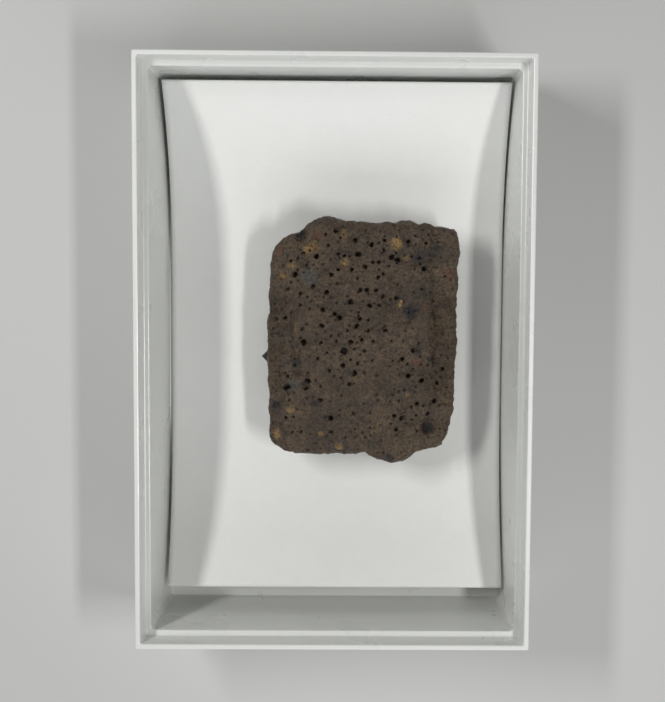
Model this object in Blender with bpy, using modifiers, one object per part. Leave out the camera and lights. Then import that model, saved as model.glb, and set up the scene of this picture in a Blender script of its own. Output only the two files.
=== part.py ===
"""A fossil giant armadillo scute, fixed in its small open display tray.

Four separate pieces: the moulded white tray, a plain paper card bowed along the tray, a square foam pad
on the card, and the scute that the pad holds up. Lengths are named in millimetres and used in metres.
Z is up, X runs across the tray and Y along it, and the origin is the middle of the tray's underside.
"""

import math
import random

import bmesh
import bpy
from mathutils import Matrix, Vector, noise
from mathutils.geometry import interpolate_bezier

MM = 0.001
TOUCH_GAP = 0.3

# Tray: a plain stepped box, a little narrower at its foot, as a mould needs.
TRAY_WIDTH = 50.8
TRAY_LENGTH = 76.2
TRAY_HEIGHT = 18.0
TRAY_FLOOR = 1.2
TRAY_OUTER_DRAFT = 0.5
LIP_WIDTH = 0.65
LIP_DEPTH = 2.9
LIP_DRAFT = 0.16
LEDGE_WIDTH = 0.72
WALL_DRAFT = 0.36
OUTER_CORNER = 0.25
CAVITY_CORNER = 0.6
EDGE_ROUND = 0.14
EDGE_STEPS = 2
EDGE_ANGLE = 40.0
CORNER_STEPS = 3
CUTTER_OVERSHOOT = 1.0

# Card: a strip of paper that lies flat in the middle and climbs at both ends.
CARD_WIDTH = 46.3
CARD_THICKNESS = 0.3
CARD_SHIFT = 0.1
CARD_TOP_END = 35.7
CARD_BOTTOM_END = -33.3
CARD_FLAT_TO = 8.0
CARD_FLAT_FROM = -6.0
CARD_TOP_LIFT = 8.0
CARD_BOTTOM_LIFT = 5.2
CARD_TOP_POWER = 2.5
CARD_BOTTOM_POWER = 2.3
CARD_STRIPS = 46

# Pad: a square of foam turned nearly onto its corner, so that one corner shows beside the scute.
PAD_SIDE = 17.0
PAD_THICKNESS = 3.0
PAD_CENTRE = (1.7, -1.6)
PAD_TURN = 44.0
PAD_EDGE_ROUND = 0.25

# Scute: its place in the tray, and its outline as four sides that meet at the corners. The upright
# sides are read upwards, the other two from left to right.
SCUTE_CENTRE = (3.7, 1.45)
SCUTE_THICKNESS = 5.4
SCUTE_UNDERSIDE_INSET = 1.3
HALF_WIDTH = 12.7
HALF_LENGTH = 16.5
ON_RIM = 1e-4
SCUTE_LEFT_SIDE = (
    (-10.6, -14.7), (-11.5, -14.5), (-12.2, -14.0), (-12.5, -13.1), (-12.5, -11.0), (-12.5, -8.6),
    (-12.6, -6.1), (-12.8, -3.7), (-12.8, -1.1), (-12.8, 1.6), (-12.6, 4.6), (-12.5, 7.1),
    (-12.4, 9.8), (-12.1, 11.8), (-11.2, 13.1),
)
SCUTE_TOP_SIDE = (
    (-11.2, 13.1), (-9.3, 14.0), (-8.3, 14.5), (-7.2, 15.5), (-5.9, 16.2), (-5.0, 16.5), (-3.9, 16.4),
    (-2.7, 16.0), (-1.5, 15.8), (0.3, 15.7), (2.0, 15.5), (3.1, 15.7), (4.5, 15.6), (6.0, 15.9),
    (7.4, 15.5), (8.4, 15.6), (9.3, 15.2), (10.3, 15.2), (11.3, 14.9), (12.1, 14.8),
)
SCUTE_RIGHT_SIDE = (
    (10.8, -14.1), (11.5, -12.5), (11.9, -10.7), (12.2, -8.5), (12.3, -5.9), (12.4, -3.5),
    (12.6, -0.9), (12.5, 1.5), (12.6, 4.8), (12.7, 7.7), (12.7, 10.2), (12.8, 12.7), (12.6, 14.2),
    (12.1, 14.8),
)
SCUTE_BOTTOM_SIDE = (
    (-10.6, -14.7), (-9.7, -15.3), (-8.2, -15.5), (-6.5, -15.6), (-3.8, -15.5), (-1.5, -15.6),
    (0.3, -15.3), (1.0, -15.7), (2.5, -16.3), (3.8, -16.6), (5.0, -16.5), (6.0, -16.2), (6.8, -15.6),
    (7.5, -15.2), (9.5, -14.7), (10.8, -14.1),
)
CURVE_POINTS = 9
SCUTE_COLUMNS = 28
SCUTE_ROWS = 36
SCUTE_LAYERS = 5
SIDE_FULLEST = 0.65
SIDE_LEAN_POWER = 1.3
SIDE_ROUGHNESS = 0.34
SIDE_SPACING = 1.5
SLICE_MARGIN = 0.08

# Relief of the scute's upper face, in its own frame.
CROWN_DROP = 0.55
EDGE_ROLL = 0.85
EDGE_ROLL_WIDTH = 1.7
GROOVE_X = -9.9
GROOVE_SPAN = (-3.5, 9.0)
GROOVE_DEPTH = 0.35
GROOVE_HALF_WIDTH = 0.55
MARGIN_DROP = 0.3
RIDGE_X = 8.7
RIDGE_SPAN = (-6.0, 10.0)
RIDGE_HEIGHT = 0.32
RIDGE_HALF_WIDTH = 0.6
FOOT_BEVEL_FROM = -10.5
FOOT_BEVEL_TO = -15.6
FOOT_BEVEL_DROP = 0.7
FOOT_BEVEL_POWER = 1.6
FOOT_BEVEL_SPAN = (-14.0, 1.6)
FOOT_BEVEL_FADE = 2.5
SPAN_FADE = 1.5
LUMP_HEIGHT = 0.34
LUMP_SPACING = 3.1
GRIT_HEIGHT = 0.2
GRIT_SPACING = 1.15
MARGIN_GRIT = 2.0
# Local forms: (x, y, radius, height), a hollow where the height is negative.
SCUTE_FORMS = (
    # The lobe at the upper left, the notch beside it and the dip under it.
    (-5.0, 15.0, 2.8, 0.45),
    (-8.2, 14.0, 1.3, -0.9),
    (-6.4, 12.9, 1.2, -0.3),
    # The smooth lobe at the foot, and the broken corner's hollow with its raised rim.
    (4.3, -14.0, 3.2, 0.5),
    (8.7, -11.5, 1.5, -0.95),
    (7.6, -13.5, 1.1, 0.4),
    (10.4, -12.6, 1.1, 0.4),
    (6.6, -11.6, 1.0, 0.25),
    # The dark patch at the left and the fissure that runs down from it to a wide pore.
    (-8.8, -1.6, 1.3, -0.5),
    (-8.1, -4.1, 0.9, -0.35),
    (-7.5, -6.3, 0.9, -0.3),
    (-9.3, -5.0, 1.3, 0.3),
    (-9.8, -6.5, 0.9, -0.55),
    # The dark hollow right of the middle, the chip beside it, and the lumps of the right margin.
    (5.8, 4.6, 2.8, -0.4),
    (3.2, 5.4, 0.9, -0.3),
    (6.4, 10.2, 1.8, -0.3),
    (10.6, -1.0, 1.7, 0.32),
    (10.9, 4.4, 1.6, 0.3),
    (10.4, 7.4, 1.2, 0.22),
    (9.8, 1.8, 1.0, -0.25),
    (10.2, -6.0, 1.2, -0.35),
    (10.5, -9.4, 1.3, 0.25),
    # The lumps of the left margin.
    (-11.4, 3.6, 1.2, 0.22),
    (-11.5, -1.0, 1.1, 0.2),
    (-11.2, 0.9, 0.9, -0.25),
    (-11.4, -8.0, 1.5, -0.25),
)

# Open pores on the upper face: (x, y, width), the wide ones by their own places.
SCUTE_PORES = (
    (-3.6, 14.5, 0.8), (-5.0, 14.0, 0.7), (-1.2, 13.4, 0.7), (-0.6, 11.4, 0.9), (1.0, 12.8, 0.7),
    (-6.0, 11.1, 0.7), (-7.8, 11.4, 0.6), (3.7, 11.2, 0.9), (4.7, 11.0, 0.8), (-3.2, 9.4, 0.6),
    (-1.5, 9.4, 0.6), (0.3, 9.7, 0.8), (2.0, 8.5, 0.7), (-8.9, 8.7, 0.8), (-4.3, 8.7, 0.6),
    (8.2, 9.6, 0.8), (7.1, 10.9, 0.7), (-6.6, 7.1, 0.8), (-4.7, 6.3, 0.8), (-1.5, 5.1, 0.8),
    (0.5, 6.8, 0.6), (1.8, 6.8, 0.7), (4.4, 5.7, 0.8), (0.8, 4.7, 0.9), (2.2, 4.8, 0.6),
    (-5.3, 4.0, 0.7), (-3.1, 3.1, 0.9), (-0.4, 2.9, 0.7), (0.8, 2.8, 0.6), (-8.1, 1.4, 0.8),
    (-5.3, 1.9, 0.8), (-0.7, 1.9, 0.8), (-2.0, 1.2, 0.6), (3.0, 1.3, 0.8), (-7.8, -0.3, 0.8),
    (-1.6, -0.4, 0.9), (0.0, 0.0, 0.9), (1.5, -0.2, 0.9), (-3.2, 0.8, 0.6), (-2.4, -1.6, 1.0),
    (-4.7, -1.7, 0.6), (-2.6, -3.5, 0.7), (-0.5, -3.1, 0.6), (-1.1, -4.4, 0.8), (5.3, -2.4, 0.9),
    (6.1, -4.8, 0.7), (8.0, -5.6, 0.8), (-7.2, -5.5, 0.8), (-4.4, -4.2, 0.6), (-1.6, -6.0, 0.6),
    (4.3, -10.3, 0.8), (5.4, -10.5, 0.8), (-4.3, -10.6, 0.7), (-5.7, -8.1, 0.6), (7.5, -8.6, 0.7),
    (9.6, -8.3, 0.7), (9.9, -5.6, 0.7), (10.9, -3.9, 0.7),
)
PORE_SIDES = 7
PORE_DEPTH = 0.8
PORE_FLOOR_WIDTH = 0.45
PORE_RISE = 0.6
PORE_LEAN = 12.0
PORE_FLARE = 0.35
PORE_TURN = 2.4

# Open pores on the underside, scattered by a fixed seed.
UNDERSIDE_PORES = 16
UNDERSIDE_SEED = 7
UNDERSIDE_REACH = 0.72
UNDERSIDE_SPACING = 2.6
UNDERSIDE_HOLLOW = 0.4
UNDERSIDE_ROUGHNESS = 0.12
UNDERSIDE_LUMP_SPACING = 2.0
UNDERSIDE_RIM_RISE = 0.6
UNDERSIDE_RIM_WIDTH = 1.5
UNDERSIDE_PORE_WIDTH = 0.9

PLASTIC_WHITE = ((0.80, 0.81, 0.78), 0.35)
PAPER_WHITE = ((0.83, 0.83, 0.80), 0.75)
FOAM_GREY = ((0.025, 0.029, 0.026), 0.9)
BONE_BROWN = ((0.062, 0.044, 0.029), 0.5)


def clear_scene():
    for obj in list(bpy.data.objects):
        bpy.data.objects.remove(obj, do_unlink=True)


def new_collection(name, drawn):
    collection = bpy.data.collections.new(name)
    bpy.context.scene.collection.children.link(collection)
    collection.hide_render = not drawn
    return collection


def material(name, look):
    colour, roughness = look
    made = bpy.data.materials.new(name)
    made.use_nodes = True
    made.diffuse_color = (*colour, 1.0)
    shader = made.node_tree.nodes["Principled BSDF"]
    shader.inputs["Base Color"].default_value = (*colour, 1.0)
    shader.inputs["Roughness"].default_value = roughness
    shader.inputs["Metallic"].default_value = 0.0
    return made


def object_from(shape, name, collection, look=None):
    """A new object from a bmesh whose points are in millimetres."""
    bmesh.ops.scale(shape, vec=(MM, MM, MM), verts=shape.verts)
    bmesh.ops.recalc_face_normals(shape, faces=shape.faces)
    mesh = bpy.data.meshes.new(name)
    shape.to_mesh(mesh)
    shape.free()
    made = bpy.data.objects.new(name, mesh)
    collection.objects.link(made)
    if look is None:
        made.hide_render = True
        made.display_type = "WIRE"
    else:
        mesh.materials.append(look)
    return made


def drafted_box(foot, mouth, low, high, corner):
    """A box primitive whose foot and mouth differ in size, with its four upright edges rounded."""
    shape = bmesh.new()
    bmesh.ops.create_cube(shape, size=1.0)
    for point in shape.verts:
        width, length = foot if point.co.z < 0 else mouth
        height = low if point.co.z < 0 else high
        point.co = Vector((point.co.x * width, point.co.y * length, height))
    middle = (low + high) / 2
    upright = [edge for edge in shape.edges if len({end.co.z < middle for end in edge.verts}) == 2]
    bmesh.ops.bevel(shape, geom=upright, offset=corner, segments=CORNER_STEPS, profile=0.5, affect="EDGES")
    return shape


def inset(size, by):
    return (size[0] - 2 * by, size[1] - 2 * by)


def cut(target, cutter, name):
    boolean = target.modifiers.new(name, "BOOLEAN")
    boolean.operation = "DIFFERENCE"
    boolean.solver = "EXACT"
    boolean.object = cutter


def build_tray(parts, cutters):
    rim = (TRAY_WIDTH, TRAY_LENGTH)
    above = TRAY_HEIGHT + CUTTER_OVERSHOOT
    ledge_height = TRAY_HEIGHT - LIP_DEPTH
    cavity_mouth = LIP_WIDTH + LIP_DRAFT + LEDGE_WIDTH
    body = drafted_box(inset(rim, TRAY_OUTER_DRAFT), rim, 0.0, TRAY_HEIGHT, OUTER_CORNER)
    tray = object_from(body, "tray", parts, material("white moulded plastic", PLASTIC_WHITE))
    slope = LIP_DRAFT / LIP_DEPTH
    lip = drafted_box(
        inset(rim, LIP_WIDTH + LIP_DRAFT),
        inset(rim, LIP_WIDTH - slope * (above - TRAY_HEIGHT)),
        ledge_height,
        above,
        OUTER_CORNER,
    )
    cut(tray, object_from(lip, "lip_cutter", cutters), "lip opening")
    slope = WALL_DRAFT / (ledge_height - TRAY_FLOOR)
    cavity = drafted_box(
        inset(rim, cavity_mouth + WALL_DRAFT),
        inset(rim, cavity_mouth - slope * (above - ledge_height)),
        TRAY_FLOOR,
        above,
        CAVITY_CORNER,
    )
    cut(tray, object_from(cavity, "cavity_cutter", cutters), "cavity")
    rounding = tray.modifiers.new("worn edges", "BEVEL")
    rounding.width = EDGE_ROUND * MM
    rounding.segments = EDGE_STEPS
    rounding.limit_method = "ANGLE"
    rounding.angle_limit = math.radians(EDGE_ANGLE)
    return tray


def card_height(y):
    """Height of the card's underside above the tray's floor gap, at a place along the tray."""
    if y > CARD_FLAT_TO:
        reach = (y - CARD_FLAT_TO) / (CARD_TOP_END - CARD_FLAT_TO)
        return CARD_TOP_LIFT * reach**CARD_TOP_POWER
    if y < CARD_FLAT_FROM:
        reach = (CARD_FLAT_FROM - y) / (CARD_FLAT_FROM - CARD_BOTTOM_END)
        return CARD_BOTTOM_LIFT * reach**CARD_BOTTOM_POWER
    return 0.0


def build_card(parts):
    """A flat grid bent to the card's bow, given its thickness by Solidify."""
    shape = bmesh.new()
    bmesh.ops.create_grid(shape, x_segments=2, y_segments=CARD_STRIPS, size=1.0)
    middle = (CARD_TOP_END + CARD_BOTTOM_END) / 2
    half = (CARD_TOP_END - CARD_BOTTOM_END) / 2
    base = TRAY_FLOOR + TOUCH_GAP
    for point in shape.verts:
        y = middle + half * point.co.y
        point.co = Vector((CARD_SHIFT + CARD_WIDTH / 2 * point.co.x, y, base + card_height(y)))
    card = object_from(shape, "label_card", parts, material("white paper card", PAPER_WHITE))
    if card.data.polygons[0].normal.z < 0:
        card.data.flip_normals()
    shell = card.modifiers.new("paper thickness", "SOLIDIFY")
    shell.thickness = CARD_THICKNESS * MM
    shell.offset = 1.0
    card.data.shade_smooth()
    return card


def card_top():
    return TRAY_FLOOR + TOUCH_GAP + CARD_THICKNESS


def build_pad(parts):
    shape = bmesh.new()
    bmesh.ops.create_cube(shape, size=1.0)
    bmesh.ops.scale(shape, vec=(PAD_SIDE, PAD_SIDE, PAD_THICKNESS), verts=shape.verts)
    pad = object_from(shape, "mounting_pad", parts, material("dark foam", FOAM_GREY))
    height = card_top() + TOUCH_GAP + PAD_THICKNESS / 2
    pad.location = Vector((*PAD_CENTRE, height)) * MM
    pad.rotation_euler.z = math.radians(PAD_TURN)
    rounding = pad.modifiers.new("soft edges", "BEVEL")
    rounding.width = PAD_EDGE_ROUND * MM
    rounding.segments = EDGE_STEPS
    return pad


class Side:
    """One side of the outline as an even curve, read by a fraction of its length."""

    def __init__(self, corners):
        points = [Vector((*corner, 0.0)) for corner in corners]
        self.points = []
        for here, (start, end) in enumerate(zip(points, points[1:])):
            before = points[max(here - 1, 0)]
            after = points[min(here + 2, len(points) - 1)]
            first = start + (end - before) / 6
            second = end - (after - start) / 6
            self.points += interpolate_bezier(start, first, second, end, CURVE_POINTS)[:-1]
        self.points.append(points[-1])
        self.lengths = [0.0]
        for start, end in zip(self.points, self.points[1:]):
            self.lengths.append(self.lengths[-1] + (end - start).length)

    def at(self, fraction):
        along = min(max(fraction, 0.0), 1.0) * self.lengths[-1]
        here = 1
        while here < len(self.lengths) - 1 and self.lengths[here] < along:
            here += 1
        step = self.lengths[here] - self.lengths[here - 1]
        return self.points[here - 1].lerp(self.points[here], (along - self.lengths[here - 1]) / step)


LEFT = Side(SCUTE_LEFT_SIDE)
RIGHT = Side(SCUTE_RIGHT_SIDE)
TOP = Side(SCUTE_TOP_SIDE)
BOTTOM = Side(SCUTE_BOTTOM_SIDE)


def outline_place(u, v):
    """The place that a point of the unit square takes when its four sides become the outline's."""
    across = BOTTOM.at(u).lerp(TOP.at(u), v)
    along = LEFT.at(v).lerp(RIGHT.at(v), u)
    low = BOTTOM.at(0.0).lerp(BOTTOM.at(1.0), u)
    high = TOP.at(0.0).lerp(TOP.at(1.0), u)
    return across + along - low.lerp(high, v)


def hump(distance, half_width):
    """A smooth rise that is 1 at no distance and 0 from the half width on."""
    if abs(distance) >= half_width:
        return 0.0
    return (1.0 + math.cos(math.pi * distance / half_width)) / 2


def within(value, span, fade=SPAN_FADE):
    """1 inside the span, falling to 0 over the fade at its ends."""
    low, high = span
    inside = min(value - low, high - value) / fade
    return min(max(inside, 0.0), 1.0)


def relief(place, edge):
    """Height of the upper face against its middle, at a place whose distance from the rim is edge."""
    x, y = place.x, place.y
    height = -CROWN_DROP * ((x / HALF_WIDTH) ** 2 + (y / HALF_LENGTH) ** 2) / 2
    height -= GROOVE_DEPTH * hump(x - GROOVE_X, 2 * GROOVE_HALF_WIDTH) * within(y, GROOVE_SPAN)
    height += RIDGE_HEIGHT * hump(x - RIDGE_X, 2 * RIDGE_HALF_WIDTH) * within(y, RIDGE_SPAN)
    margin = min(max(GROOVE_X - x, x - RIDGE_X, 0.0), 1.0)
    height -= MARGIN_DROP * margin
    if y < FOOT_BEVEL_FROM:
        reach = (FOOT_BEVEL_FROM - y) / (FOOT_BEVEL_FROM - FOOT_BEVEL_TO)
        drop = FOOT_BEVEL_DROP * reach**FOOT_BEVEL_POWER
        height -= drop * within(x, FOOT_BEVEL_SPAN, FOOT_BEVEL_FADE)
    for form_x, form_y, radius, rise in SCUTE_FORMS:
        height += rise * hump(math.hypot(x - form_x, y - form_y), radius)
    spot = Vector((x, y, 0.0))
    height += LUMP_HEIGHT * noise.noise(spot / LUMP_SPACING)
    height += GRIT_HEIGHT * (1.0 + margin * (MARGIN_GRIT - 1.0)) * noise.noise(spot / GRIT_SPACING)
    if edge < EDGE_ROLL_WIDTH:
        height -= EDGE_ROLL * (1.0 - math.sqrt(1.0 - (1.0 - edge / EDGE_ROLL_WIDTH) ** 2))
    return height


def slice_box(shape, axis, places):
    """Cuts the whole box by planes across one axis, so that its faces become a grid."""
    normal = Vector((0.0, 0.0, 0.0))
    normal[axis] = 1.0
    for place in places:
        geometry = list(shape.verts) + list(shape.edges) + list(shape.faces)
        bmesh.ops.bisect_plane(shape, geom=geometry, plane_co=normal * place, plane_no=normal)


def eased(count):
    """Fractions from 0 to 1 that stand closer together near both ends."""
    reach = 1.0 - 2 * SLICE_MARGIN
    turns = [SLICE_MARGIN + reach * step / count for step in range(1, count)]
    return [(1.0 - math.cos(math.pi * turn)) / 2 for turn in turns]


def rim_distance(place, u, v):
    """How far a place is from the outline, near enough for the roll of its edge."""
    across = min((place - LEFT.at(v)).length, (place - RIGHT.at(v)).length)
    along = min((place - TOP.at(u)).length, (place - BOTTOM.at(u)).length)
    return min(across, along)


def scute_point(u, v, level):
    """The place that a point of the sliced unit box takes in the scute, over the middle of its underside."""
    place = outline_place(u, v)
    rim = rim_distance(place, u, v)
    upper = SCUTE_THICKNESS + relief(place, rim)
    lower = UNDERSIDE_HOLLOW * hump(place.length, HALF_LENGTH)
    lower += UNDERSIDE_RIM_RISE * (1.0 - min(rim / UNDERSIDE_RIM_WIDTH, 1.0)) ** 2
    lower += UNDERSIDE_ROUGHNESS * noise.noise(place / UNDERSIDE_LUMP_SPACING)
    height = lower + (upper - lower) * level
    # The sides are fullest two thirds up, lean in below, and are rough where they met their neighbours.
    shrink = SCUTE_UNDERSIDE_INSET * max(0.0, SIDE_FULLEST - level) ** SIDE_LEAN_POWER
    rough = 0.0
    if rim < ON_RIM and level < 1.0:
        rough = SIDE_ROUGHNESS * noise.noise(Vector((place.x, place.y, height)) / SIDE_SPACING)
    scale = 1.0 - (shrink - rough) / HALF_WIDTH
    return Vector((place.x * scale, place.y * scale, height))


def build_scute(parts, cutters):
    """A box sliced into a grid, whose four sides become the outline and whose faces take the relief."""
    shape = bmesh.new()
    bmesh.ops.create_cube(shape, size=1.0)
    bmesh.ops.translate(shape, vec=(0.5, 0.5, 0.5), verts=shape.verts)
    slice_box(shape, 0, eased(SCUTE_COLUMNS))
    slice_box(shape, 1, eased(SCUTE_ROWS))
    slice_box(shape, 2, [layer / SCUTE_LAYERS for layer in range(1, SCUTE_LAYERS)])
    for point in shape.verts:
        point.co = scute_point(*point.co)
    base = card_top() + PAD_THICKNESS + 2 * TOUCH_GAP + UNDERSIDE_ROUGHNESS
    lift = Vector((*SCUTE_CENTRE, base))
    bmesh.ops.translate(shape, vec=lift, verts=shape.verts)
    scute = object_from(shape, "scute", parts, material("brown fossil bone", BONE_BROWN))
    pores = bmesh.new()
    for number, (x, y, width) in enumerate(SCUTE_PORES):
        height = SCUTE_THICKNESS + relief(Vector((x, y, 0.0)), EDGE_ROLL_WIDTH)
        add_pore(pores, Vector((x, y, height)) + lift, width, number, facing_up=True)
    for number, (x, y) in enumerate(underside_places()):
        height = UNDERSIDE_HOLLOW * hump(math.hypot(x, y), HALF_LENGTH)
        add_pore(pores, Vector((x, y, height)) + lift, UNDERSIDE_PORE_WIDTH, number, facing_up=False)
    cut(scute, object_from(pores, "pore_cutter", cutters), "pores")
    return scute


def add_pore(shape, mouth, width, number, facing_up):
    """One tapering pore, leaning a little to a side of its own."""
    reach = PORE_DEPTH + PORE_RISE
    wide = width / 2 * (1.0 + PORE_FLARE * PORE_RISE / PORE_DEPTH)
    made = bmesh.ops.create_cone(
        shape,
        cap_ends=True,
        segments=PORE_SIDES,
        radius1=width / 2 * PORE_FLOOR_WIDTH,
        radius2=wide,
        depth=reach,
    )
    turn = PORE_TURN * number
    lean = Matrix.Rotation(math.radians(PORE_LEAN), 4, Vector((math.cos(turn), math.sin(turn), 0.0)))
    spin = Matrix.Rotation(turn, 4, "Z")
    flip = Matrix.Rotation(0.0 if facing_up else math.pi, 4, "X")
    down = Matrix.Translation((0.0, 0.0, (PORE_RISE - PORE_DEPTH) / 2))
    place = Matrix.Translation(mouth) @ flip @ lean @ spin @ down
    bmesh.ops.transform(shape, matrix=place, verts=made["verts"])


def underside_places():
    """Scattered places on the underside, none nearer to another than the spacing."""
    draw = random.Random(UNDERSIDE_SEED)
    places = []
    while len(places) < UNDERSIDE_PORES:
        x = draw.uniform(-HALF_WIDTH, HALF_WIDTH) * UNDERSIDE_REACH
        y = draw.uniform(-HALF_LENGTH, HALF_LENGTH) * UNDERSIDE_REACH
        if all(math.hypot(x - a, y - b) > UNDERSIDE_SPACING for a, b in places):
            places.append((x, y))
    return places


def main():
    clear_scene()
    parts = new_collection("fossil_armadillo_scute", drawn=True)
    cutters = new_collection("cutters", drawn=False)
    build_tray(parts, cutters)
    build_card(parts)
    build_pad(parts)
    build_scute(parts, cutters)


main()
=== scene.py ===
"""The looks of a fossil giant armadillo scute, fixed in its small open display tray.

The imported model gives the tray, card, pad and scute their places. The tray keeps its CAD shape and gets its
moulded plastic. A bowed paper card, a foam pad and a finely pored bone plate stand for the other three solids.
Lengths are named in millimetres and used in metres. Z is up, X runs across the tray and Y along it.
"""

import math

import bmesh
import bpy
import numpy as np
from mathutils import Euler, Matrix, Vector
from mathutils.geometry import interpolate_bezier

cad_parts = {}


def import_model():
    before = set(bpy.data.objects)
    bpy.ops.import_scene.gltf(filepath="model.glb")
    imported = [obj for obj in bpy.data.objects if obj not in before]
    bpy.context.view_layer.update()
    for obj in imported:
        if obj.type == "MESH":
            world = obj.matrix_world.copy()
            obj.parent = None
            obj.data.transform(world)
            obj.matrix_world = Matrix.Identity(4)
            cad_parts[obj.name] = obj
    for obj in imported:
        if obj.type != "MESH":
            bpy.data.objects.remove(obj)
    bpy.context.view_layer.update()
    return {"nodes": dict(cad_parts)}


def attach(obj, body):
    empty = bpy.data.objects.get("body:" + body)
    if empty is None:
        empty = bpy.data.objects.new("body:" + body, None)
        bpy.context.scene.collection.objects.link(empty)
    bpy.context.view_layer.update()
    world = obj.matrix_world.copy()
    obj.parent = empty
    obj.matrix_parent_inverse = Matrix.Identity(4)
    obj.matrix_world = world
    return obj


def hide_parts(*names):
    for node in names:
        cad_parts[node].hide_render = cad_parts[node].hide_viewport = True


MM = 0.001

# Photograph's frame in pixels, and the camera that its rim corners fit: focal length and lens centre in
# pixels, place over the middle of the tray, and turns about X, Y and Z that take the world to the camera.
FRAME_WIDTH = 665
FRAME_HEIGHT = 702
FOCAL_PIXELS = 1110.0
LENS_CENTRE = (365.0, 330.0)
CAMERA_PLACE = (2.56, 12.98, 158.12)
CAMERA_TURNS = (3.949, 0.53, -0.412)
SENSOR = 36.0

# Lights: the place of each, its size along X or Y and the other way, its power and its colour. A strip
# stands close over each side of the tray, square to it, and a broad soft light beyond its foot.
LIGHTS = {
    "left strip": {"place": (-123.0, 70.0, 190.0), "size": (90.0, 20.0), "power": 0.225, "colour": (1.0, 0.99, 0.97)},
    "right strip": {"place": (89.0, -35.0, 190.0), "size": (70.0, 13.0), "power": 0.146, "colour": (1.0, 0.99, 0.97)},
    "broad light": {"place": (0.0, -300.0, 190.0), "size": (600.0, 200.0), "power": 0.56, "colour": (0.96, 0.98, 1.0)},
}
LIGHTS_AIM_HEIGHT = 5.0
ROOM_COLOUR = (0.93, 0.96, 1.0)
ROOM_STRENGTH = 0.11
FLOOR_SIZE = 3000.0
FLOOR_DROP = 0.05

# The card: the CAD card's bow, given again in finer steps.
TRAY_FLOOR = 1.2
TOUCH_GAP = 0.3
CARD_WIDTH = 46.3
CARD_THICKNESS = 0.3
CARD_SHIFT = 0.1
CARD_TOP_END = 35.7
CARD_BOTTOM_END = -33.3
CARD_FLAT_TO = 8.0
CARD_FLAT_FROM = -6.0
CARD_TOP_LIFT = 8.0
CARD_BOTTOM_LIFT = 5.2
CARD_TOP_POWER = 2.5
CARD_BOTTOM_POWER = 2.3
CARD_COLUMNS = 60
CARD_ROWS = 150
CARD_TOP = TRAY_FLOOR + TOUCH_GAP + CARD_THICKNESS

# The pad, pressed a little by the scute, so that its sides bulge.
PAD_SIDE = 17.0
PAD_THICKNESS = 3.0
PAD_CENTRE = (1.7, -1.6)
PAD_TURN = 44.0
PAD_CUTS = 47
PAD_LAYERS = 10
PAD_BULGE = 0.35
PAD_CORNER = 0.3
PAD_CELL_DEPTH = 0.12
PAD_CELL_SIZE = 0.45

# The scute: its place and its outline as four sides that meet at the corners. The upright sides are read
# upwards, the other two from left to right.
SCUTE_CENTRE = (3.7, 1.45)
SCUTE_THICKNESS = 5.4
SCUTE_UNDERSIDE_INSET = 1.3
UNDERSIDE_HOLLOW = 0.4
UNDERSIDE_ROUGHNESS = 0.12
UNDERSIDE_RIM_RISE = 0.6
UNDERSIDE_RIM_WIDTH = 1.5
UNDERSIDE_EDGE = 0.012
SCUTE_BASE = CARD_TOP + PAD_THICKNESS + 2 * TOUCH_GAP + UNDERSIDE_ROUGHNESS
HALF_WIDTH = 12.7
HALF_LENGTH = 16.5
CURVE_POINTS = 9
SCUTE_LEFT_SIDE = (
    (-10.6, -14.7), (-11.5, -14.5), (-12.2, -14.0), (-12.5, -13.1), (-12.5, -11.0), (-12.5, -8.6),
    (-12.6, -6.1), (-12.8, -3.7), (-12.8, -1.1), (-12.8, 1.6), (-12.6, 4.6), (-12.5, 7.1),
    (-12.4, 9.8), (-12.1, 11.8), (-11.2, 13.1),
)
SCUTE_TOP_SIDE = (
    (-11.2, 13.1), (-9.3, 14.0), (-8.3, 14.5), (-7.2, 15.5), (-5.9, 16.2), (-5.0, 16.5), (-3.9, 16.4),
    (-2.7, 16.0), (-1.5, 15.8), (0.3, 15.7), (2.0, 15.5), (3.1, 15.7), (4.5, 15.6), (6.0, 15.9),
    (7.4, 15.5), (8.4, 15.6), (9.3, 15.2), (10.3, 15.2), (11.3, 14.9), (12.1, 14.8),
)
SCUTE_RIGHT_SIDE = (
    (10.8, -14.1), (11.5, -12.5), (11.9, -10.7), (12.2, -8.5), (12.3, -5.9), (12.4, -3.5),
    (12.6, -0.9), (12.5, 1.5), (12.6, 4.8), (12.7, 7.7), (12.7, 10.2), (12.8, 12.7), (12.6, 14.2),
    (12.1, 14.8),
)
SCUTE_BOTTOM_SIDE = (
    (-10.6, -14.7), (-9.7, -15.3), (-8.2, -15.5), (-6.5, -15.6), (-3.8, -15.5), (-1.5, -15.6),
    (0.3, -15.3), (1.0, -15.7), (2.5, -16.3), (3.8, -16.6), (5.0, -16.5), (6.0, -16.2), (6.8, -15.6),
    (7.5, -15.2), (9.5, -14.7), (10.8, -14.1),
)
SCUTE_COLUMNS = 200
SCUTE_ROWS = 260
SCUTE_LAYERS = 24
SIDE_FULLEST = 0.65
SIDE_LEAN_POWER = 1.3

# Relief of the scute's upper face.
CROWN_DROP = 0.55
EDGE_ROLL = 0.85
EDGE_ROLL_WIDTH = 1.7
GROOVE_X = -9.9
GROOVE_SPAN = (-3.5, 9.0)
GROOVE_DEPTH = 0.35
GROOVE_HALF_WIDTH = 0.55
MARGIN_DROP = 0.3
RIDGE_X = 8.7
RIDGE_SPAN = (-6.0, 10.0)
RIDGE_HEIGHT = 0.32
RIDGE_HALF_WIDTH = 0.6
SPAN_FADE = 1.5
FOOT_BEVEL_FROM = -10.5
FOOT_BEVEL_TO = -15.6
FOOT_BEVEL_DROP = 0.7
FOOT_BEVEL_POWER = 1.6
FOOT_BEVEL_SPAN = (-14.0, 1.6)
FOOT_BEVEL_FADE = 2.5
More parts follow.
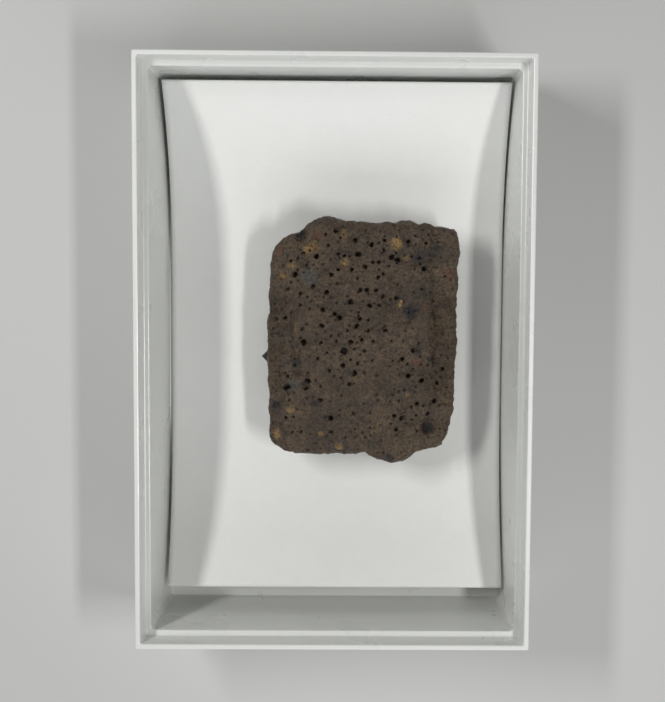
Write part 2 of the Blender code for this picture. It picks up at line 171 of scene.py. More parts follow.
# Local forms: (x, y, radius, height), a hollow where the height is negative.
SCUTE_FORMS = (
    # The lobe at the upper left, the notch beside it and the dip under it.
    (-5.0, 15.0, 2.8, 0.45),
    (-8.2, 14.0, 1.3, -0.9),
    (-6.4, 12.9, 1.2, -0.3),
    # The smooth lobe at the foot, and the broken corner's hollow with its raised rim.
    (4.3, -14.0, 3.2, 0.5),
    (8.7, -11.5, 1.5, -0.95),
    (7.6, -13.5, 1.1, 0.4),
    (10.4, -12.6, 1.1, 0.4),
    (6.6, -11.6, 1.0, 0.25),
    # The dark patch at the left and the fissure that runs down from it to a wide pore.
    (-8.8, -1.6, 1.3, -0.5),
    (-8.1, -4.1, 0.9, -0.35),
    (-7.5, -6.3, 0.9, -0.3),
    (-9.3, -5.0, 1.3, 0.3),
    (-9.8, -6.5, 0.9, -0.55),
    # The dark hollow right of the middle, the chip beside it, and the lumps of the right margin.
    (5.8, 4.6, 2.8, -0.4),
    (3.2, 5.4, 0.9, -0.3),
    (6.4, 10.2, 1.8, -0.3),
    (10.6, -1.0, 1.7, 0.32),
    (10.9, 4.4, 1.6, 0.3),
    (10.4, 7.4, 1.2, 0.22),
    (9.8, 1.8, 1.0, -0.25),
    (10.2, -6.0, 1.2, -0.35),
    (10.5, -9.4, 1.3, 0.25),
    # The lumps of the left margin.
    (-11.4, 3.6, 1.2, 0.22),
    (-11.5, -1.0, 1.1, 0.2),
    (-11.2, 0.9, 0.9, -0.25),
    (-11.4, -8.0, 1.5, -0.25),
)
# Open pores that stand out on the upper face: (x, y, width).
PORES = (
    (-3.6, 14.5, 0.6), (-5.0, 14.0, 0.55), (-4.6, 12.6, 0.5), (-3.0, 13.6, 0.4), (-1.1, 13.3, 0.7),
    (-0.7, 11.4, 0.8), (-2.5, 11.2, 0.45), (-3.3, 11.5, 0.45), (-6.2, 11.1, 0.6), (-7.9, 11.5, 0.5),
    (-9.6, 10.5, 0.4), (-8.7, 9.3, 0.45), (-9.0, 8.7, 0.7), (-7.5, 9.9, 0.4), (-3.3, 9.4, 0.5),
    (-1.5, 9.4, 0.55), (-4.2, 8.7, 0.55), (-6.7, 7.1, 0.65), (-10.0, 6.7, 0.5), (-8.3, 6.2, 0.5),
    (-4.8, 6.3, 0.65), (-5.2, 5.5, 0.35), (-1.7, 5.1, 0.75), (-5.3, 4.1, 0.65), (-10.3, 2.9, 0.45),
    (-3.7, 3.5, 0.5), (-3.1, 3.0, 0.65), (-5.5, 1.9, 0.65), (-8.1, 1.5, 0.55), (-0.8, 1.9, 0.75),
    (-2.0, 1.3, 0.45), (-3.2, 0.7, 0.5), (-0.4, 2.9, 0.5), (-0.6, 3.7, 0.4), (0.3, 9.7, 0.6),
    (1.1, 12.7, 0.6), (2.8, 13.3, 0.45), (2.8, 12.0, 0.5), (3.7, 11.1, 0.75), (4.6, 10.7, 0.7),
    (1.3, 10.4, 0.5), (2.1, 10.4, 0.45), (2.0, 8.4, 0.55), (2.7, 8.9, 0.4), (-0.3, 6.7, 0.45),
    (0.5, 6.7, 0.5), (1.7, 6.7, 0.5), (4.5, 5.7, 0.6), (2.7, 5.8, 0.5), (0.9, 4.6, 0.65),
    (2.2, 4.7, 0.45), (0.7, 2.7, 0.4), (0.7, 1.3, 0.5), (3.0, 1.4, 0.55), (8.1, 9.6, 0.65),
    (7.4, 11.0, 0.6), (6.0, 13.2, 0.6), (8.4, 12.9, 0.5), (-7.9, -0.3, 0.75), (-11.0, -0.1, 0.5),
    (-5.5, -0.3, 0.45), (-1.6, -0.3, 0.65), (-0.1, 0.1, 0.5), (-4.7, -1.7, 0.45), (-2.4, -1.5, 0.95),
    (-6.0, -2.5, 0.45), (-2.6, -3.4, 0.6), (-4.4, -4.1, 0.45), (-1.1, -4.4, 0.85), (-0.6, -3.1, 0.5),
    (-7.3, -5.5, 0.75), (-7.5, -6.5, 0.5), (-10.1, -6.3, 0.95), (-10.0, -4.9, 0.45),
    (-1.7, -5.9, 0.55), (-5.6, -8.1, 0.6), (-4.2, -10.5, 0.65), (-8.2, -12.4, 0.4),
    (-10.3, -10.5, 0.4), (-4.1, -12.4, 0.45), (1.4, -0.1, 0.45), (0.3, -1.4, 0.4), (6.1, -4.7, 0.65),
    (7.9, -5.4, 0.7), (4.3, -10.1, 0.65), (5.3, -10.4, 0.6), (8.7, -9.8, 0.75), (9.6, -8.1, 0.6),
    (7.3, -8.5, 0.55), (10.0, -5.7, 0.6), (10.8, -3.8, 0.6), (6.7, -1.3, 0.5), (5.3, -2.5, 0.6),
    (9.4, -2.4, 0.6), (4.9, -6.9, 0.35), (4.6, -11.9, 0.5),
)
# Patches that the bone's colour and grain follow: (x, y, radius, strength).
PATCHES = {
    "ochre": (
        (-7.7, 12.1, 0.7, 1.0), (-6.7, 12.3, 1.9, 0.75), (-2.5, 10.3, 1.7, 0.6), (-9.5, 9.8, 1.2, 0.6),
        (-10.6, 8.6, 1.1, 0.5), (-2.5, 14.2, 1.4, 0.6), (4.4, 12.9, 1.5, 0.95), (5.9, 11.1, 1.3, 0.45),
        (4.9, 4.8, 0.5, 1.3), (5.1, 5.2, 0.35, 1.3), (-9.5, -9.4, 0.9, 0.9), (-11.5, -12.7, 1.4, 0.8),
        (-3.0, -14.6, 1.0, 0.8), (-5.6, -12.6, 0.8, 0.6), (6.1, -7.3, 0.6, 0.8), (1.6, -12.3, 0.8, 0.55),
        (8.4, 12.9, 0.8, 0.6),
    ),
    "black": (
        (6.4, 3.8, 2.1, 1.0), (5.2, 5.3, 1.3, 0.7), (7.3, 11.0, 1.6, 0.8), (-8.8, -3.1, 1.3, 1.0),
        (-8.3, 13.9, 1.4, 1.0), (-11.5, -8.9, 1.6, 0.8), (-6.3, -8.5, 1.3, 0.7), (8.8, -11.8, 1.6, 1.0),
        (7.2, -1.3, 1.4, 0.7), (9.0, -2.5, 1.2, 0.7), (-2.5, -15.0, 1.6, 0.6), (3.6, -15.8, 1.5, 0.7),
        (9.5, 12.0, 3.2, 0.6), (8.0, 6.5, 2.6, 0.55), (-7.7, -5.9, 0.8, 0.8),
    ),
    "rust": (
        (-10.7, 8.2, 0.9, 0.9), (-11.0, 11.9, 0.9, 0.8), (-5.9, 13.9, 1.2, 0.8), (7.2, -3.0, 1.4, 0.8),
        (11.5, 8.9, 1.5, 0.8), (-8.5, 12.7, 0.8, 0.6), (9.8, 5.3, 1.2, 0.5),
    ),
    "grey": (
        (-7.1, 8.3, 2.2, 0.9), (5.5, -7.0, 2.0, 0.5), (-9.2, -6.1, 1.8, 0.7), (1.5, -8.1, 2.4, 0.4),
        (-10.8, 0.5, 2.0, 0.5), (-10.5, -3.0, 1.6, 0.6),
    ),
    "smooth": (
        (-9.2, -6.1, 2.0, 1.0), (4.5, -13.6, 2.8, 1.0), (12.0, -9.5, 1.5, 1.0), (-5.2, 15.7, 2.6, 0.8),
        (-8.5, -14.1, 2.6, 0.6),
    ),
}
GRAIN_BANDS = ((10.2, 1.9), (-11.4, 1.3))
GRAIN_BAND_SPAN = (-9.0, 7.5)


class Graph:
    """Adds the nodes of one tree and joins them: an input is given a value or another node's output."""

    def __init__(self, tree):
        self.tree = tree

    def add(self, kind, inputs=None, **settings):
        node = self.tree.nodes.new(kind)
        for name, value in settings.items():
            setattr(node, name, value)
        for key, value in (inputs or {}).items():
            if isinstance(value, bpy.types.NodeSocket):
                self.tree.links.new(value, node.inputs[key])
            else:
                node.inputs[key].default_value = value
        return node

    def calc(self, operation, first, second=0.0, clamp=False):
        return self.add("ShaderNodeMath", {0: first, 1: second}, operation=operation, use_clamp=clamp).outputs[0]

    def vector(self, operation, first, second=None, scale=None):
        inputs = {0: first}
        if second is not None:
            inputs[1] = second
        if scale is not None:
            inputs["Scale"] = scale
        node = self.add("ShaderNodeVectorMath", inputs, operation=operation)
        return node.outputs["Value" if operation in ("LENGTH", "DISTANCE", "DOT_PRODUCT") else "Vector"]

    def remap(self, value, low, high, to_low=0.0, to_high=1.0):
        """A smooth step from to_low at low to to_high at high."""
        inputs = {0: value, 1: low, 2: high, 3: to_low, 4: to_high}
        return self.add("ShaderNodeMapRange", inputs, interpolation_type="SMOOTHSTEP").outputs[0]

    def noise(self, place, size=1.0, detail=2.0, roughness=0.5, distortion=0.0):
        inputs = {"Vector": place, "Scale": 1.0 / size, "Detail": detail}
        inputs.update({"Roughness": roughness, "Distortion": distortion})
        return self.add("ShaderNodeTexNoise", inputs).outputs[0]

    def cells(self, place, size, feature="F1"):
        inputs = {"Vector": place, "Scale": 1.0 / size}
        return self.add("ShaderNodeTexVoronoi", inputs, feature=feature).outputs["Distance"]

    def blend(self, factor, first, second, mode="MIX"):
        node = self.add("ShaderNodeMix", data_type="RGBA", blend_type=mode)
        for index, value in ((0, factor), (6, first), (7, second)):
            if isinstance(value, bpy.types.NodeSocket):
                self.tree.links.new(value, node.inputs[index])
            else:
                node.inputs[index].default_value = (*value, 1.0) if isinstance(value, tuple) else value
        return node.outputs[2]

    def attribute(self, name):
        return self.add("ShaderNodeAttribute", attribute_name=name).outputs["Fac"]

    def bump(self, height, distance, strength=1.0, below=None):
        inputs = {"Height": height, "Distance": distance * MM, "Strength": strength}
        if below is not None:
            inputs["Normal"] = below
        return self.add("ShaderNodeBump", inputs).outputs[0]


def new_material(name):
    """A material with an empty Principled shader: (material, graph, shader, object place in millimetres)."""
    made = bpy.data.materials.new(name)
    made.use_nodes = True
    graph = Graph(made.node_tree)
    shader = made.node_tree.nodes["Principled BSDF"]
    source = graph.add("ShaderNodeTexCoord").outputs["Object"]
    place = graph.add("ShaderNodeMapping", {"Vector": source, "Scale": (1 / MM,) * 3}).outputs[0]
    return made, graph, shader, place


def finish(graph, shader, colour=None, roughness=None, normal=None, **constants):
    """Joins what varies to the shader, and sets what doesn't on its own sockets."""
    for name, output in (("Base Color", colour), ("Roughness", roughness), ("Normal", normal)):
        if output is not None:
            graph.tree.links.new(output, shader.inputs[name])
    for name, value in constants.items():
        shader.inputs[name.replace("_", " ")].default_value = value


def moulded_plastic():
    made, graph, shader, place = new_material("white moulded polystyrene")
    cloudy = graph.noise(place, size=9.0, detail=3.0)
    colour = graph.blend(cloudy, (0.77, 0.785, 0.76), (0.82, 0.83, 0.80))
    dust = graph.remap(graph.noise(place, size=0.5, detail=4.0, roughness=0.7), 0.66, 0.78)
    colour = graph.blend(graph.calc("MULTIPLY", dust, 0.12), colour, (0.45, 0.43, 0.38))
    flow = graph.noise(place, size=2.2, detail=2.0)
    grain = graph.noise(place, size=0.16, detail=2.0)
    normal = graph.bump(grain, 0.004, below=graph.bump(flow, 0.03))
    roughness = graph.remap(cloudy, 0.3, 0.7, 0.26, 0.36)
    finish(graph, shader, colour, roughness, normal, IOR=1.59, Subsurface_Weight=0.12, Subsurface_Scale=0.001)
    shader.inputs["Subsurface Radius"].default_value = (1.0, 0.95, 0.85)
    return made


def plain_paper():
    made, graph, shader, place = new_material("white printer paper")
    cloudy = graph.noise(place, size=3.5, detail=4.0, roughness=0.6)
    fibres = graph.noise(place, size=0.35, detail=3.0, roughness=0.6, distortion=0.6)
    colour = graph.blend(cloudy, (0.80, 0.805, 0.785), (0.845, 0.85, 0.83))
    colour = graph.blend(graph.remap(fibres, 0.55, 0.75, 0.0, 0.35), colour, (0.74, 0.745, 0.725))
    normal = graph.bump(fibres, 0.025, below=graph.bump(cloudy, 0.08))
    roughness = graph.remap(cloudy, 0.3, 0.7, 0.5, 0.62)
    finish(graph, shader, colour, roughness, normal, IOR=1.45)
    return made


def dark_foam():
    made, graph, shader, place = new_material("dark closed foam")
    cells = graph.cells(place, size=0.33)
    dusty = graph.noise(place, size=1.4, detail=3.0)
    colour = graph.blend(dusty, (0.016, 0.020, 0.018), (0.034, 0.040, 0.036))
    normal = graph.bump(cells, 0.12)
    roughness = graph.remap(dusty, 0.3, 0.7, 0.8, 0.95)
    finish(graph, shader, colour, roughness, normal)
    return made


def fossil_bone():
    made, graph, shader, place = new_material("brown fossil bone")
    broad = graph.noise(place, size=4.5, detail=3.0, roughness=0.6)
    medium = graph.noise(place, size=1.1, detail=4.0, roughness=0.65)
    fine = graph.noise(place, size=0.3, detail=3.0, roughness=0.75)
    coarse = graph.attribute("coarse")
    ground = graph.remap(graph.calc("ADD", graph.calc("MULTIPLY", broad, 0.5), graph.calc("MULTIPLY", medium, 0.5)), 0.36, 0.64)
    colour = graph.blend(ground, (0.036, 0.022, 0.011), (0.082, 0.053, 0.028))
    ragged = graph.calc("MULTIPLY", graph.calc("SUBTRACT", medium, 0.5), 1.4)
    for name, paint in (
        ("grey", (0.058, 0.052, 0.045)),
        ("rust", (0.088, 0.034, 0.017)),
        ("black", (0.012, 0.010, 0.010)),
        ("ochre", (0.21, 0.125, 0.040)),
    ):
        patch = graph.remap(graph.calc("ADD", graph.attribute(name), ragged), 0.15, 0.9)
        colour = graph.blend(patch, colour, paint)
    speckle = graph.remap(fine, 0.3, 0.72, 0.35, 1.75)
    tone = graph.add("ShaderNodeCombineColor", {0: speckle, 1: speckle, 2: speckle}).outputs[0]
    colour = graph.blend(1.0, colour, tone, mode="MULTIPLY")
    # Painted shade: the pits of the pores are darkened to near black, standing for the shade inside them.
    pore = graph.remap(graph.attribute("pore"), 0.15, 0.7)
    colour = graph.blend(pore, colour, (0.006, 0.004, 0.003))
    grit = graph.noise(place, size=0.2, detail=3.0, roughness=0.7)
    height = graph.calc("MULTIPLY", grit, graph.remap(coarse, 0.0, 1.0, 0.7, 1.5))
    normal = graph.bump(height, 0.16, below=graph.bump(fine, 0.18))
    roughness = graph.remap(medium, 0.35, 0.65, 0.34, 0.6)
    finish(graph, shader, colour, roughness, normal, IOR=1.52)
    return made


def pale_floor():
    made, graph, shader, place = new_material("pale floor")
    cloudy = graph.noise(place, size=140.0, detail=2.0)
    colour = graph.blend(cloudy, (0.60, 0.60, 0.59), (0.62, 0.62, 0.61))
    finish(graph, shader, colour, Roughness=0.85)
    return made


def new_piece(name, points, faces, material, smooth=True):
    """An object at the origin whose points are given in millimetres."""
    mesh = bpy.data.meshes.new(name)
    mesh.from_pydata((np.asarray(points) * MM).tolist(), [], faces)
    mesh.polygons.foreach_set("use_smooth", [smooth] * len(mesh.polygons))
    mesh.materials.append(material)
    mesh.update()
    made = bpy.data.objects.new(name, mesh)
    bpy.context.scene.collection.objects.link(made)
    return made


def applied(piece):
    """The piece with its modifiers made part of its mesh."""
    evaluated = piece.evaluated_get(bpy.context.evaluated_depsgraph_get())
    mesh = bpy.data.meshes.new_from_object(evaluated)
    piece.modifiers.clear()
    old = piece.data
    piece.data = mesh
    bpy.data.meshes.remove(old)
    return piece


def card_height(y):
    """Height of the card's underside above its lowest part, at places along the tray."""
    up = np.clip((y - CARD_FLAT_TO) / (CARD_TOP_END - CARD_FLAT_TO), 0.0, None)
    down = np.clip((CARD_FLAT_FROM - y) / (CARD_FLAT_FROM - CARD_BOTTOM_END), 0.0, None)
    return CARD_TOP_LIFT * up**CARD_TOP_POWER + CARD_BOTTOM_LIFT * down**CARD_BOTTOM_POWER


def build_card():
    """A fine bowed sheet of paper that Solidify gives its thickness."""
    x = CARD_SHIFT + CARD_WIDTH * np.linspace(-0.5, 0.5, CARD_COLUMNS + 1)
    y = np.linspace(CARD_BOTTOM_END, CARD_TOP_END, CARD_ROWS + 1)
    across, along = np.meshgrid(x, y)
    height = TRAY_FLOOR + TOUCH_GAP + card_height(along)
    points = np.stack([across, along, height], axis=-1).reshape(-1, 3)
    faces = grid_faces(np.arange(len(points)).reshape(across.shape))
    card = new_piece("bowed_card", points, faces.tolist(), plain_paper())
    shell = card.modifiers.new("paper thickness", "SOLIDIFY")
    shell.thickness = CARD_THICKNESS * MM
    shell.offset = 1.0
    applied(card)
    return card


def grid_faces(index):
    """Quads that face up, from a grid of point numbers whose rows run along X."""
    corners = (index[:-1, :-1], index[:-1, 1:], index[1:, 1:], index[1:, :-1])
    return np.stack([corner.ravel() for corner in corners], axis=-1)


def shell_lattice(columns, rows, layers):
    """Places (u, v, level) in a unit box and the faces of a closed shell over them.

    The top is a fine grid, rings of its outer points make the sides, and the underside is half as fine,
    joined to the last ring by one strip of triangles."""
    u, v = np.meshgrid(np.linspace(0, 1, columns + 1), np.linspace(0, 1, rows + 1))
    top = np.arange(u.size).reshape(u.shape)
    points = [np.stack([u.ravel(), v.ravel(), np.ones(u.size)], axis=-1)]
    faces = grid_faces(top).tolist()

    def around(index):
        return np.concatenate([index[0, :-1], index[:-1, -1], index[-1, :0:-1], index[:0:-1, 0]])

    upper = around(top)
    edge = points[0][upper]
    count = u.size
    for layer in range(1, layers + 1):
        ring = edge.copy()
        ring[:, 2] = 1.0 - layer / layers
        points.append(ring)
        lower = count + np.arange(len(upper))
        quads = np.stack([upper, lower, np.roll(lower, -1), np.roll(upper, -1)], axis=-1)
        faces += quads.tolist()
        upper = lower
        count += len(ring)
    low, high = UNDERSIDE_EDGE, 1.0 - UNDERSIDE_EDGE
    u, v = np.meshgrid(np.linspace(low, high, columns // 2 + 1), np.linspace(low, high, rows // 2 + 1))
    under = count + np.arange(u.size).reshape(u.shape)
    points.append(np.stack([u.ravel(), v.ravel(), np.zeros(u.size)], axis=-1))
    faces += grid_faces(under)[:, ::-1].tolist()
    inner = around(under)
    after = np.roll(inner, -1)
    first, middle, last = upper[0::2], upper[1::2], np.roll(upper, -2)[0::2]
    for strip in ((first, inner, middle), (middle, inner, after), (middle, after, last)):
        faces += np.stack(strip, axis=-1).tolist()
    return np.concatenate(points), faces


class Side:
    """One side of the outline as an even curve, read by fractions of its length."""

    def __init__(self, corners):
        points = [Vector((*corner, 0.0)) for corner in corners]
        curve = []
        for here, (start, end) in enumerate(zip(points, points[1:])):
            before = points[max(here - 1, 0)]
            after = points[min(here + 2, len(points) - 1)]
            first = start + (end - before) / 6
            second = end - (after - start) / 6
            curve += interpolate_bezier(start, first, second, end, CURVE_POINTS)[:-1]
        curve.append(points[-1])
        self.points = np.array(curve)[:, :2]
        steps = np.linalg.norm(np.diff(self.points, axis=0), axis=1)
        self.lengths = np.concatenate([[0.0], np.cumsum(steps)])

    def at(self, fraction):
        along = np.asarray(fraction) * self.lengths[-1]
        return np.stack([np.interp(along, self.lengths, self.points[:, axis]) for axis in (0, 1)], axis=-1)


LEFT = Side(SCUTE_LEFT_SIDE)
RIGHT = Side(SCUTE_RIGHT_SIDE)
TOP = Side(SCUTE_TOP_SIDE)
BOTTOM = Side(SCUTE_BOTTOM_SIDE)


def mix(first, second, share):
    return first + (second - first) * share[:, None]


def outline_place(u, v):
    """The places that points of the unit square take when its four sides become the outline's."""
    across = mix(BOTTOM.at(u), TOP.at(u), v)
    along = mix(LEFT.at(v), RIGHT.at(v), u)
    low = mix(BOTTOM.at(0.0), BOTTOM.at(1.0), u)
    high = mix(TOP.at(0.0), TOP.at(1.0), u)
    return across + along - mix(low, high, v)


def hump(distance, half_width):
    """A smooth rise that is 1 at no distance and 0 from the half width on."""
    return (1.0 + np.cos(np.pi * np.clip(np.abs(distance) / half_width, 0.0, 1.0))) / 2


def within(value, span, fade=SPAN_FADE):
    """1 inside the span, falling to 0 over the fade at its ends."""
    low, high = span
    return np.clip(np.minimum(value - low, high - value) / fade, 0.0, 1.0)


def patch_strength(name, x, y):
    strength = np.zeros(len(x))
    for patch_x, patch_y, radius, most in PATCHES[name]:
        strength = np.maximum(strength, most * hump(np.hypot(x - patch_x, y - patch_y), radius))
    return strength


def relief(x, y, rim):
    """Height of the upper face against its middle, at places whose distance from the outline is rim."""
    height = -CROWN_DROP * ((x / HALF_WIDTH) ** 2 + (y / HALF_LENGTH) ** 2) / 2
    height -= GROOVE_DEPTH * hump(x - GROOVE_X, 2 * GROOVE_HALF_WIDTH) * within(y, GROOVE_SPAN)
    height += RIDGE_HEIGHT * hump(x - RIDGE_X, 2 * RIDGE_HALF_WIDTH) * within(y, RIDGE_SPAN)
    height -= MARGIN_DROP * np.clip(np.maximum(GROOVE_X - x, x - RIDGE_X), 0.0, 1.0)
    reach = np.clip((FOOT_BEVEL_FROM - y) / (FOOT_BEVEL_FROM - FOOT_BEVEL_TO), 0.0, None)
    height -= FOOT_BEVEL_DROP * reach**FOOT_BEVEL_POWER * within(x, FOOT_BEVEL_SPAN, FOOT_BEVEL_FADE)
    for form_x, form_y, radius, rise in SCUTE_FORMS:
        height += rise * hump(np.hypot(x - form_x, y - form_y), radius)
    near = 1.0 - np.clip(rim / EDGE_ROLL_WIDTH, 0.0, 1.0)
    return height - EDGE_ROLL * (1.0 - np.sqrt(1.0 - near**2))


def scute_points(u, v, level):
    """The places of the lattice's points in the scute, over the middle of its underside."""
    place = outline_place(u, v)
    sides = (LEFT.at(v), RIGHT.at(v), TOP.at(u), BOTTOM.at(u))
    rim = np.min([np.linalg.norm(place - side, axis=1) for side in sides], axis=0)
    x, y = place.T
    upper = SCUTE_THICKNESS + relief(x, y, rim)
    lower = UNDERSIDE_HOLLOW * hump(np.hypot(x, y), HALF_LENGTH)
    lower += UNDERSIDE_RIM_RISE * (1.0 - np.clip(rim / UNDERSIDE_RIM_WIDTH, 0.0, 1.0)) ** 2
    height = lower + (upper - lower) * level
    shrink = SCUTE_UNDERSIDE_INSET * np.clip(SIDE_FULLEST - level, 0.0, None) ** SIDE_LEAN_POWER
    scale = 1.0 - shrink / HALF_WIDTH
    return np.stack([x * scale, y * scale, height], axis=-1)


def grain_strength(x, y):
    """How rough and sparkling the grain is: most in a band along each side and in the dark patches."""
    grain = np.zeros(len(x))
    for middle, half_width in GRAIN_BANDS:
        grain = np.maximum(grain, hump(x - middle, 1.6 * half_width) * within(y, GRAIN_BAND_SPAN, 3.0))
    grain = np.maximum(grain, 0.7 * patch_strength("black", x, y))
    return grain * (1.0 - patch_strength("smooth", x, y))


def pore_tree():
    """Geometry Nodes that roughen a bone plate, sink its pores and store a mask of painted shade for their pits."""
    tree = bpy.data.node_groups.new("pored bone", "GeometryNodeTree")
    sockets = (
        ("Geometry", "NodeSocketGeometry"),
        ("Pore Places", "NodeSocketObject"),
        ("Pore Depth", "NodeSocketFloat"),
        ("Rim Rise", "NodeSocketFloat"),
        ("Pinhole Spacing", "NodeSocketFloat"),
        ("Lump Height", "NodeSocketFloat"),
        ("Lump Size", "NodeSocketFloat"),
        ("Grain Height", "NodeSocketFloat"),
        ("Grain Size", "NodeSocketFloat"),
        ("Seed", "NodeSocketInt"),
        ("Material", "NodeSocketMaterial"),
    )
    for name, kind in sockets:
        tree.interface.new_socket(name=name, in_out="INPUT", socket_type=kind)
    tree.interface.new_socket(name="Geometry", in_out="OUTPUT", socket_type="NodeSocketGeometry")
    graph = Graph(tree)
    given = graph.add("NodeGroupInput").outputs
    position = graph.add("GeometryNodeInputPosition").outputs[0]
    normal = graph.add("GeometryNodeInputNormal").outputs[0]

    def unevenness(size, detail):
        place = graph.vector("SCALE", position, scale=graph.calc("DIVIDE", 1.0, size))
        return graph.calc("SUBTRACT", graph.noise(place, detail=detail, roughness=0.6), 0.5)

    def moved(geometry, height):
        offset = graph.vector("SCALE", normal, scale=height)
        return graph.add("GeometryNodeSetPosition", {"Geometry": geometry, "Offset": offset}).outputs[0]

    def named(name):
        return graph.add("GeometryNodeInputNamedAttribute", {"Name": name}, data_type="FLOAT").outputs[0]

    def stored(geometry, name, value):
        inputs = {"Geometry": geometry, "Name": name, "Value": value}
        return graph.add("GeometryNodeStoreNamedAttribute", inputs, data_type="FLOAT", domain="POINT").outputs[0]

    lumps = graph.calc("MULTIPLY", unevenness(given["Lump Size"], 2.0), given["Lump Height"])
    share = graph.calc("MULTIPLY_ADD", named("coarse"), 1.1)
    share.node.inputs[2].default_value = 0.45
    grain = graph.calc("MULTIPLY", unevenness(given["Grain Size"], 3.0), given["Grain Height"])
    rough = graph.calc("ADD", lumps, graph.calc("MULTIPLY", grain, share))
    bone = moved(given["Geometry"], rough)

    spread = {"Mesh": bone, "Distance Min": given["Pinhole Spacing"], "Density Max": 2.0e6, "Seed": given["Seed"]}
    pinholes = graph.add("GeometryNodeDistributePointsOnFaces", spread, distribute_method="POISSON").outputs[0]
    span = {2: 0.12 * MM, 3: 0.34 * MM, "Seed": given["Seed"]}
    pinholes = stored(pinholes, "width", graph.add("FunctionNodeRandomValue", span, data_type="FLOAT").outputs[1])
    places = graph.add("GeometryNodeObjectInfo", {"Object": given["Pore Places"]}).outputs["Geometry"]
    places = graph.add("GeometryNodeMeshToPoints", {"Mesh": places}).outputs[0]
    joined = graph.add("GeometryNodeJoinGeometry")
    for points in (pinholes, places):
        tree.links.new(points, joined.inputs[0])
    pores = joined.outputs[0]

    nearest = graph.add("GeometryNodeSampleNearest", {"Geometry": pores}).outputs[0]
    centre = {"Geometry": pores, "Value": graph.add("GeometryNodeInputPosition").outputs[0], "Index": nearest}
    centre = graph.add("GeometryNodeSampleIndex", centre, data_type="FLOAT_VECTOR").outputs[0]
    width = {"Geometry": pores, "Value": named("width"), "Index": nearest}
    width = graph.add("GeometryNodeSampleIndex", width, data_type="FLOAT").outputs[0]
    away = graph.calc("DIVIDE", graph.vector("DISTANCE", position, centre), graph.calc("MULTIPLY", width, 0.5))
    wobble = graph.vector("SCALE", position, scale=1.0 / (0.35 * MM))
    wobble = graph.calc("MULTIPLY", graph.calc("SUBTRACT", graph.noise(wobble), 0.5), 0.9)
    away = graph.calc("ADD", away, wobble)
    pit = graph.remap(away, 0.5, 1.25, 1.0, 0.0)
    rim = graph.calc("MULTIPLY", graph.remap(away, 0.9, 1.4), graph.remap(away, 1.5, 2.3, 1.0, 0.0))
    wide = graph.remap(width, 0.35 * MM, 0.6 * MM)
    rise = graph.calc("MULTIPLY", graph.calc("MULTIPLY", rim, given["Rim Rise"]), wide)
    depth = graph.calc("MINIMUM", graph.calc("MULTIPLY", width, 1.3), given["Pore Depth"])
    sunk = graph.calc("SUBTRACT", rise, graph.calc("MULTIPLY", pit, depth))
    # A mask of painted shade for the pore pits, fuller in the wider ones; the bone's colour is darkened by it.
    shade = graph.calc("MULTIPLY", pit, graph.remap(width, 0.1 * MM, 0.45 * MM, 0.25, 1.0))
    bone = moved(stored(bone, "pore", shade), sunk)

    bone = graph.add("GeometryNodeRealizeInstances", {"Geometry": bone}).outputs[0]
    bone = graph.add("GeometryNodeSetMaterial", {"Geometry": bone, "Material": given["Material"]}).outputs[0]
    graph.add("NodeGroupOutput", {"Geometry": bone})
    return tree


def run_nodes(piece, tree, values):
    """Runs a Geometry Nodes tree on the piece, with its inputs set by name, and keeps the resulting mesh."""
    modifier = piece.modifiers.new(tree.name, "NODES")
    modifier.node_group = tree
    for item in tree.interface.items_tree:
        if item.in_out == "INPUT" and item.name in values:
            modifier[item.identifier] = values[item.name]
    return applied(piece)


def build_scute():
    lattice, faces = shell_lattice(SCUTE_COLUMNS, SCUTE_ROWS, SCUTE_LAYERS)
    points = scute_points(*lattice.T)
    x, y = points[:, 0], points[:, 1]
    bone = fossil_bone()
    lift = np.array([*SCUTE_CENTRE, SCUTE_BASE])
    scute = new_piece("bone_scute", points + lift, faces, bone)
    upward = np.clip(lattice[:, 2] * 3.0 - 2.0, 0.0, 1.0)
    values = {name: patch_strength(name, x, y) * upward for name in ("ochre", "black", "rust", "grey")}
    values["coarse"] = grain_strength(x, y)
    for name, strength in values.items():
        made = scute.data.attributes.new(name, "FLOAT", "POINT")
        made.data.foreach_set("value", strength.astype(np.float32))
    places = np.array(PORES)
    height = SCUTE_THICKNESS + relief(places[:, 0], places[:, 1], np.full(len(places), EDGE_ROLL_WIDTH))
    mouths = np.stack([places[:, 0], places[:, 1], height], axis=-1) + lift
    helper = new_piece("pore_places", mouths, [], bone)
    widths = helper.data.attributes.new("width", "FLOAT", "POINT")
    widths.data.foreach_set("value", (places[:, 2] * MM).astype(np.float32))
    run_nodes(
        scute,
        pore_tree(),
        {
            "Pore Places": helper,
            "Pore Depth": 0.8 * MM,
            "Rim Rise": 0.08 * MM,
            "Pinhole Spacing": 0.75 * MM,
            "Lump Height": 0.9 * MM,
            "Lump Size": 2.4 * MM,
            "Grain Height": 0.5 * MM,
            "Grain Size": 0.6 * MM,
            "Seed": 5,
            "Material": bone,
        },
    )
    bpy.data.objects.remove(helper)
    return scute


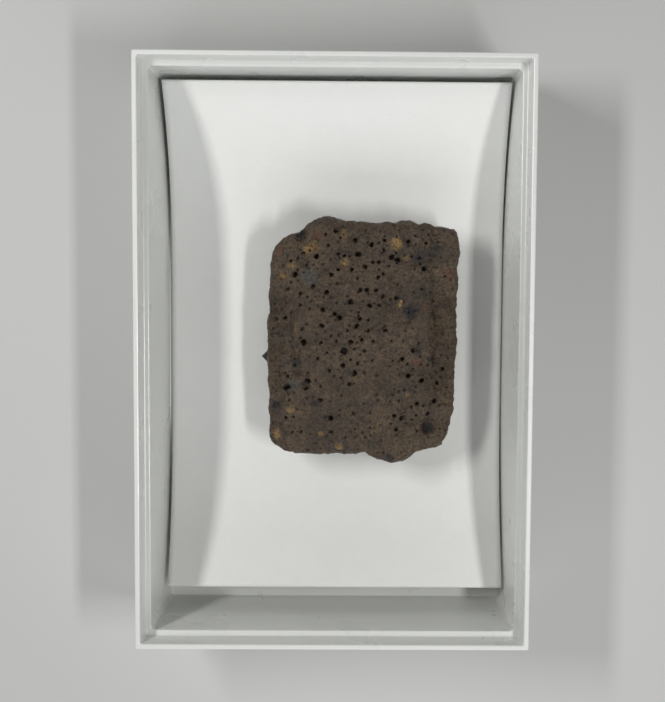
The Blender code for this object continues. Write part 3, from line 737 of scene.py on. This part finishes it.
def build_pad():
    """A square of foam cut from sheet: flat faces, bulging sides and shallow cells all over."""
    shape = bmesh.new()
    bmesh.ops.create_cube(shape, size=1.0)
    for axis, count in ((0, PAD_CUTS), (1, PAD_CUTS), (2, PAD_LAYERS)):
        normal = Vector([float(axis == other) for other in range(3)])
        for step in range(1, count):
            geometry = list(shape.verts) + list(shape.edges) + list(shape.faces)
            place = normal * (step / count - 0.5)
            bmesh.ops.bisect_plane(shape, geom=geometry, plane_co=place, plane_no=normal)
    turn = Matrix.Rotation(math.radians(PAD_TURN), 3, "Z")
    half = Vector((PAD_SIDE / 2, PAD_SIDE / 2, PAD_THICKNESS / 2))
    middle = Vector((*PAD_CENTRE, CARD_TOP + TOUCH_GAP + PAD_THICKNESS / 2))
    for point in shape.verts:
        level = 2 * point.co.z
        inset = PAD_BULGE * level**2
        place = Vector([2 * value * size for value, size in zip(point.co, half)])
        place.x *= 1.0 - inset / half.x
        place.y *= 1.0 - inset / half.y
        point.co = (turn @ place + middle) * MM
    mesh = bpy.data.meshes.new("foam_pad")
    shape.to_mesh(mesh)
    shape.free()
    mesh.materials.append(dark_foam())
    mesh.polygons.foreach_set("use_smooth", [True] * len(mesh.polygons))
    pad = bpy.data.objects.new("foam_pad", mesh)
    bpy.context.scene.collection.objects.link(pad)
    return pad


def build_floor():
    half = FLOOR_SIZE / 2
    corners = [(-half, -half, -FLOOR_DROP), (half, -half, -FLOOR_DROP)]
    corners += [(half, half, -FLOOR_DROP), (-half, half, -FLOOR_DROP)]
    return new_piece("floor", corners, [(0, 1, 2, 3)], pale_floor())


def build_lights():
    for name, look in LIGHTS.items():
        data = bpy.data.lights.new(name, "AREA")
        data.shape = "RECTANGLE"
        data.size = look["size"][0] * MM
        data.size_y = look["size"][1] * MM
        data.energy = look["power"]
        data.color = look["colour"]
        light = bpy.data.objects.new(name, data)
        place = Vector(look["place"])
        facing = Vector((place.x, 0.0 if place.x else place.y, place.z - LIGHTS_AIM_HEIGHT))
        turn = facing.to_track_quat("Z", "Y").to_matrix().to_4x4()
        light.matrix_world = Matrix.Translation(place * MM) @ turn
        bpy.context.scene.collection.objects.link(light)
    world = bpy.data.worlds.new("plain room")
    world.use_nodes = True
    background = world.node_tree.nodes["Background"]
    background.inputs["Color"].default_value = (*ROOM_COLOUR, 1.0)
    background.inputs["Strength"].default_value = ROOM_STRENGTH
    bpy.context.scene.world = world


def build_camera():
    """The camera that sees the tray's rim corners where the photograph does."""
    data = bpy.data.cameras.new("camera")
    longer = max(FRAME_WIDTH, FRAME_HEIGHT)
    data.sensor_width = SENSOR
    data.lens = FOCAL_PIXELS * SENSOR / longer
    data.shift_x = (FRAME_WIDTH / 2 - LENS_CENTRE[0]) / longer
    data.shift_y = (LENS_CENTRE[1] - FRAME_HEIGHT / 2) / longer
    data.clip_start = 0.01
    camera = bpy.data.objects.new("camera", data)
    turns = [math.radians(turn) for turn in CAMERA_TURNS]
    seen = Matrix.Rotation(turns[0], 4, "X") @ Matrix.Rotation(turns[1], 4, "Y") @ Matrix.Rotation(turns[2], 4, "Z")
    camera.matrix_world = Matrix.Translation(Vector(CAMERA_PLACE) * MM) @ seen.transposed()
    bpy.context.scene.collection.objects.link(camera)
    bpy.context.scene.camera = camera


def main():
    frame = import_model()
    bpy.context.scene.view_settings.view_transform = "Standard"
    build_camera()
    build_lights()
    build_floor()

    tray = frame["nodes"]["tray"]
    tray.data.materials.clear()
    tray.data.materials.append(moulded_plastic())
    card = build_card()
    pad = build_pad()
    scute = build_scute()
    for piece, node, slot in ((card, "label_card", "card"), (pad, "mounting_pad", "pad"), (scute, "scute", "scute")):
        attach(piece, "root")
        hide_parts(node)


main()
